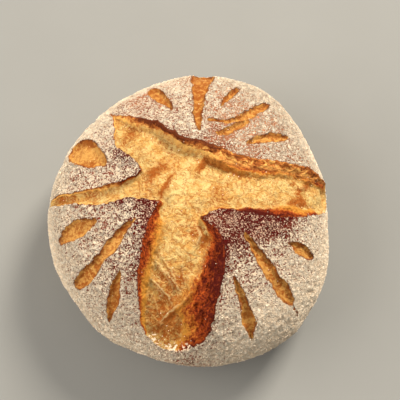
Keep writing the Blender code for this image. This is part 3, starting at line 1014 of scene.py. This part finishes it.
def floured_colour(paint):
    """Baked crust under a stipple of flour that opens along fine creases, partly as painted shade, and
    where the flour lies.
    """
    cover = paint.plus(paint.cover("flour"), paint.sway(FLOUR_CLUMPS), 0.45)
    bar = paint.math("SUBTRACT", 0.68, paint.times(cover, 0.36))
    thin = paint.ramp(paint.cover("flour"), 0.62, 0.38)
    speck = paint.plus(0.18, paint.noise(FLOUR_SPECKS, 2.0, 0.6, 0.7), 0.64)
    # Flour opens along the creases that the fine relief dents: partly bare crust, partly painted shade
    crease_gaps_and_shade = paint.math("SUBTRACT", creases(paint, SKIN_CREASES), 0.28)
    over = paint.plus(paint.math("SUBTRACT", speck, bar), crease_gaps_and_shade, paint.blend(thin, 0.46, 0.2))
    over = paint.plus(over, paint.cover("smooth"), 0.12)
    dusted = paint.ramp(over, -0.035, 0.035)
    depth = paint.plus(paint.cover("dark"), paint.sway(BAKED_PATCHES, 3.0))
    crust = paint.mix(paint.ramp(depth, -0.6, 0.3), CRUST_PALE, CRUST_BROWN)
    crust = paint.mix(paint.ramp(depth, 0.2, 1.0), crust, CRUST_DARK)
    flour = paint.mix(paint.ramp(paint.noise(FLOUR_TONES, 4.0, 0.7), 0.4, 0.62), FLOUR_SHADE, FLOUR)
    flour = paint.mix(paint.times(thin, 0.8), flour, FLOUR_PINK)
    return paint.mix(dusted, crust, flour), paint.ramp(over, -0.09, 0.09)


def leaf_colour(paint, leaf):
    """The bare crust inside a leaf slash, here and there darker along its rim."""
    mottle = paint.noise(LEAF_MOTTLES, 4.0, 0.75, 0.5)
    blotch = paint.plus(mottle, paint.sway(LEAF_PATCHES, 4.0, 0.65, 0.8), 0.9)
    blotch = paint.math("SUBTRACT", paint.ramp(blotch, 0.36, 0.64), paint.cover("toast"))
    middle = paint.mix(blotch, LEAF_BROWN, LEAF_GOLD)
    rim = paint.times(paint.ramp(leaf, -2.2, 0.0), paint.ramp(paint.noise(RIM_PATCHES, 3.0), 0.42, 0.58))
    return paint.mix(rim, middle, LEAF_RIM)


def bloom_colour(paint):
    """Pale dough that was inside the loaf until it burst, with toast on its crests, a painted highlight
    beside the crests of its folds and painted shade in its creases and in a hollow.
    """
    cloud = paint.ramp(paint.noise(DOUGH_CLOUDS, 6.0, 0.74, 0.6), 0.38, 0.62)
    pale = paint.mix(paint.plus(cloud, paint.cover("toast"), 0.45), BLOOM_PALE, BLOOM_GOLD)
    toast = paint.plus(paint.cover("toast"), paint.sway(DOUGH_PATCHES, 5.0, 0.72, 0.9), 2.2)
    toast = paint.plus(toast, paint.sway(DOUGH_ZONES, 3.0, 0.6, 0.4), 1.4)
    # The darkest toast, and the painted shade of a hollow beside the nub, go near black
    char_and_hollow_shade = paint.ramp(toast, 1.5, 2.6)
    specks = paint.ramp(paint.noise(DOUGH_SPECKS, 2.0, 0.6, 0.8), 0.50, 0.64)
    lines = paint.ramp(creases(paint, DOUGH_CREASES), 0.17, 0.02)
    marks = paint.plus(paint.times(specks, 0.4), lines, 0.62)
    toast = paint.plus(paint.ramp(toast, 0.1, 1.4), marks)
    dough = paint.mix(paint.ramp(toast, 0.0, 1.3), pale, BLOOM_TOAST_AND_SHADE)
    # Painted highlight beside each lined crest, and painted shade in the crease on its steep side
    side = paint.plus(paint.cover("crest"), paint.sway(CREST_WAVES, 3.0, 0.6))
    painted_lines = paint.ramp(paint.cover("fold_highlight_and_shade"), 0.1, 0.7)
    crest = paint.ramp(paint.math("ABSOLUTE", paint.math("ADD", side, 0.5)), 0.9, 0.2)
    crease_shade = paint.ramp(paint.math("ABSOLUTE", paint.math("SUBTRACT", side, 0.9)), 0.8, 0.1)
    dough = paint.mix(paint.times(crest, paint.times(painted_lines, 0.4)), dough, BLOOM_HIGHLIGHT)
    dough = paint.mix(paint.times(crease_shade, paint.times(painted_lines, 0.6)), dough, BLOOM_TOAST_AND_SHADE)
    return paint.mix(char_and_hollow_shade, dough, BLOOM_CHAR_AND_HOLLOW_SHADE)


def wall_colour(paint, wall):
    """The torn wall of a flap, dark at its lip and golden at its foot, layered along the lip."""
    streaks = paint.noise(WALL_STREAKS, 5.0, 0.72, 0.9, paint.beside_edge(STREAK_STRETCH))
    grit = paint.ramp(paint.noise(WALL_GRIT, 2.0, 0.6), 0.36, 0.64)
    patches = paint.noise(WALL_PATCHES, 4.0, 0.7, 0.8)
    rough = paint.plus(paint.times(streaks, 1.2), grit, 0.2)
    rough = paint.plus(rough, patches, 0.35)
    golden = paint.plus(paint.cover("golden"), wall)
    front = paint.mix(paint.ramp(paint.plus(rough, golden, 0.4), 0.82, 1.42), WALL_DARK, WALL_BROWN)
    front = paint.mix(paint.ramp(paint.plus(golden, rough), 1.5, 2.1), front, WALL_FOOT)
    reach = paint.plus(paint.times(wall, 1.2), streaks, 2.4)
    reach = paint.plus(reach, patches, 2.6)
    reach = paint.plus(reach, paint.cover("golden"))
    back = paint.mix(paint.ramp(reach, 2.15, 2.85), BACK_WALL_DARK, BACK_WALL_BROWN)
    back = paint.mix(paint.ramp(reach, 2.7, 3.4), back, BACK_WALL_GOLD)
    return paint.mix(paint.ramp(paint.cover("tone"), 0.0, 1.0), front, back)


def fine_relief(paint, dusted, in_leaf, on_wall, open_here):
    """Relief too fine for the mesh: crumpled flour, ridges on the walls and creases in the dough."""
    soft = paint.blend(paint.cover("smooth"), 1.0, 0.35)
    on_crust = paint.blend(open_here, paint.blend(in_leaf, soft, 0.0), 0.0)
    crumbs = paint.times(paint.noise(FLOUR_CRUMBS, 3.0, 0.65, 0.6), 1.5)
    crumbs = paint.plus(crumbs, creases(paint, SKIN_CREASES), 4.0)
    crumbs = paint.plus(crumbs, dusted, 0.9)
    across = paint.beside_edge(RIDGE_STRETCH)
    layers = paint.times(paint.noise(WALL_RIDGES, 4.0, 0.65, 0.5, across), on_wall)
    relief = paint.plus(paint.times(layers, open_here), crumbs, on_crust)
    relief = paint.plus(relief, paint.noise(FINE_GRAIN, 4.0, 0.7))
    relief = paint.plus(relief, creases(paint, DOUGH_CREASES), open_here)
    links = {"Height": relief, "Distance": RELIEF_HEIGHT * MM, "Strength": 1.0}
    return paint.add("ShaderNodeBump", links).outputs[0]


def crust_material():
    """Everything on the loaf's skin, laid out by the values that the mesh carries."""
    paint = Paint("floured_crust")
    fray = paint.times(paint.sway(EDGE_FRAY, 3.0, 0.6), FRAY_BAND)
    opening = paint.plus(paint.cover("opening"), fray)
    leaf = paint.plus(paint.cover("leaf"), fray)
    wall = paint.plus(paint.cover("wall"), fray, 0.2)
    floured, dusted = floured_colour(paint)
    in_leaf = paint.ramp(leaf, 0.3, -0.3)
    on_flap = paint.mix(in_leaf, floured, leaf_colour(paint, leaf))
    on_wall = paint.ramp(wall, 1.25, 0.85)
    in_cross = paint.mix(on_wall, bloom_colour(paint), wall_colour(paint, wall))
    fallen = paint.times(paint.cover("dusting"), paint.ramp(paint.noise(FALLEN_FLOUR), 0.62, 0.35))
    in_cross = paint.mix(paint.ramp(fallen, 0.35, 0.5), in_cross, FLOUR_SHADE)
    open_here = paint.ramp(opening, -0.2, 0.3)
    paint.feed(paint.shader.inputs["Base Color"], paint.mix(open_here, on_flap, in_cross))
    rough_flap = paint.blend(in_leaf, FLOURED_ROUGHNESS, LEAF_ROUGHNESS)
    rough_cross = paint.blend(on_wall, DOUGH_ROUGHNESS, WALL_ROUGHNESS)
    paint.feed(paint.shader.inputs["Roughness"], paint.blend(open_here, rough_flap, rough_cross))
    paint.shader.inputs["Specular IOR Level"].default_value = CRUST_GLEAM
    paint.feed(paint.shader.inputs["Normal"], fine_relief(paint, dusted, in_leaf, on_wall, open_here))
    return paint.material


def flour_material():
    """Loose grains of flour."""
    paint = Paint("loose_flour")
    colour = paint.mix(paint.noise(GRAIN_TONES), FLOUR_SHADE, FLOUR)
    paint.feed(paint.shader.inputs["Base Color"], colour)
    paint.shader.inputs["Roughness"].default_value = GRAIN_ROUGHNESS
    return paint.material


def floor_material():
    """A plain pale floor."""
    paint = Paint("floor")
    colour = paint.mix(paint.noise(FLOOR_PATCHES, 2.0), FLOOR_SHADE, FLOOR_PALE)
    paint.feed(paint.shader.inputs["Base Color"], colour)
    paint.shader.inputs["Roughness"].default_value = FLOOR_ROUGHNESS
    return paint.material


def light(name, place, size, power, colour):
    """A soft square light that points at the loaf."""
    lamp = bpy.data.lights.new(name, "AREA")
    lamp.size = size
    lamp.energy = power
    lamp.color = colour
    holder = bpy.data.objects.new(name, lamp)
    holder.location = place
    holder.rotation_mode = "QUATERNION"
    holder.rotation_quaternion = (-Vector(place)).to_track_quat("-Z", "Y")
    bpy.context.scene.collection.objects.link(holder)


def blob():
    """Corners and triangles of a regular ball of twenty faces, of radius 1."""
    tall = (1 + math.sqrt(5)) / 2
    corners = [(a, b * tall, 0) for a in (-1, 1) for b in (-1, 1)]
    corners += [(0, a, b * tall) for a in (-1, 1) for b in (-1, 1)]
    corners += [(b * tall, 0, a) for a in (-1, 1) for b in (-1, 1)]
    corners = np.array(corners, float)
    faces = []
    for first in range(12):
        for second in range(first + 1, 12):
            for third in range(second + 1, 12):
                three = corners[[first, second, third]]
                if np.abs(np.linalg.norm(three - np.roll(three, 1, axis=0), axis=1) - 2).max() > 1e-6:
                    continue
                faces.append((first, second, third) if np.linalg.det(three) > 0 else (first, third, second))
    return corners / math.hypot(1, tall), np.array(faces)


def grain_places(mesh, dice):
    """Random places on the floured crust, and the directions that face out of it there."""
    points = np.array([vertex.co for vertex in mesh.vertices])
    quads = np.array([face.vertices[:] for face in mesh.polygons if len(face.vertices) == 4])
    covers = {}
    for name in ("opening", "leaf", "flour", "dusting"):
        values = np.zeros(len(points), np.float32)
        mesh.attributes[name].data.foreach_get("value", values)
        covers[name] = values[quads].mean(axis=1)
    facing = np.cross(points[quads[:, 2]] - points[quads[:, 0]], points[quads[:, 3]] - points[quads[:, 1]])
    area = np.linalg.norm(facing, axis=1)
    floured = np.clip(covers["flour"], 0.0, 1.0) * (covers["opening"] < 0) * (covers["leaf"] > 0)
    chance = area * (floured + DUSTING_GRAINS * np.clip(covers["dusting"], 0.0, 1.0) + STRAY_GRAINS)
    chance[facing[:, 2] < 0] = 0.0
    chosen = dice.choice(len(quads), FLOUR_GRAINS, p=chance / chance.sum())
    share = dice.random((FLOUR_GRAINS, 2, 1))
    corner = points[quads[chosen]]
    near = corner[:, 0] + share[:, 0] * (corner[:, 1] - corner[:, 0])
    far = corner[:, 3] + share[:, 0] * (corner[:, 2] - corner[:, 3])
    return near + share[:, 1] * (far - near), facing[chosen] / area[chosen][:, None]


def flour_grains(crust):
    """Grains of coarse flour that lie on the floured crust, as one piece."""
    dice = np.random.default_rng(GRAIN_SEED)
    place, out = grain_places(crust.data, dice)
    radius = dice.uniform(*GRAIN_RADIUS, (FLOUR_GRAINS, 1)) * MM
    ball, faces = blob()
    grains = ball * dice.uniform(*GRAIN_UNEVENNESS, (FLOUR_GRAINS, len(ball), 1)) * radius[:, None]
    grains += (place + GRAIN_RISE * radius * out)[:, None]
    low, high = (np.array(edge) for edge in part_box("loaf"))
    grains = grains[((grains > low) & (grains < high)).all(axis=(1, 2))]
    numbers = faces + len(ball) * np.arange(len(grains))[:, None, None]
    pile = bpy.data.meshes.new("flour_grains")
    pile.from_pydata(grains.reshape(-1, 3).tolist(), [], numbers.reshape(-1, 3).tolist())
    pile.materials.append(flour_material())
    piece = bpy.data.objects.new("flour_grains", pile)
    bpy.context.scene.collection.objects.link(piece)
    return piece


def make_camera():
    """The camera at the photograph's viewing angle."""
    lens = bpy.data.cameras.new("camera")
    lens.sensor_width = SENSOR_WIDTH
    lens.lens = SENSOR_WIDTH * CAMERA_FOCUS / PICTURE_WIDTH
    lens.clip_start = 0.01
    holder = bpy.data.objects.new("camera", lens)
    tilt = math.radians(CAMERA_ELEVATION)
    back = Vector((0.0, -math.cos(tilt), math.sin(tilt)))
    aim = Vector(CAMERA_AIM) + Vector((*CENTRING, 0.0))
    holder.location = (aim + back * CAMERA_DISTANCE) * MM
    holder.rotation_mode = "QUATERNION"
    holder.rotation_quaternion = back.to_track_quat("Z", "Y")
    bpy.context.scene.collection.objects.link(holder)
    bpy.context.scene.camera = holder


def make_floor():
    """The floor under the loaf."""
    mesh = bpy.data.meshes.new("floor")
    far = FLOOR_REACH
    mesh.from_pydata([(-far, -far, 0), (far, -far, 0), (far, far, 0), (-far, far, 0)], [], [(0, 1, 2, 3)])
    floor = bpy.data.objects.new("floor", mesh)
    mesh.materials.append(floor_material())
    bpy.context.scene.collection.objects.link(floor)


def make_lights():
    """A warm main light from the back right, a fill from the left, and soft light from all round."""
    for row in LIGHTS:
        light(*row)
    world = bpy.data.worlds.new("room")
    world.use_nodes = True
    world.node_tree.nodes["Background"].inputs["Color"].default_value = ROOM_COLOUR
    world.node_tree.nodes["Background"].inputs["Strength"].default_value = ROOM_STRENGTH
    bpy.context.scene.world = world
    bpy.context.scene.view_settings.view_transform = "Standard"


def main():
    """The camera, the floor, the lights and the two pieces."""
    make_camera()
    make_floor()
    make_lights()
    crust = loaf_piece()
    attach(crust, "root")
    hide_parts("loaf")
    grains = flour_grains(crust)
    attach(grains, "root")


main()
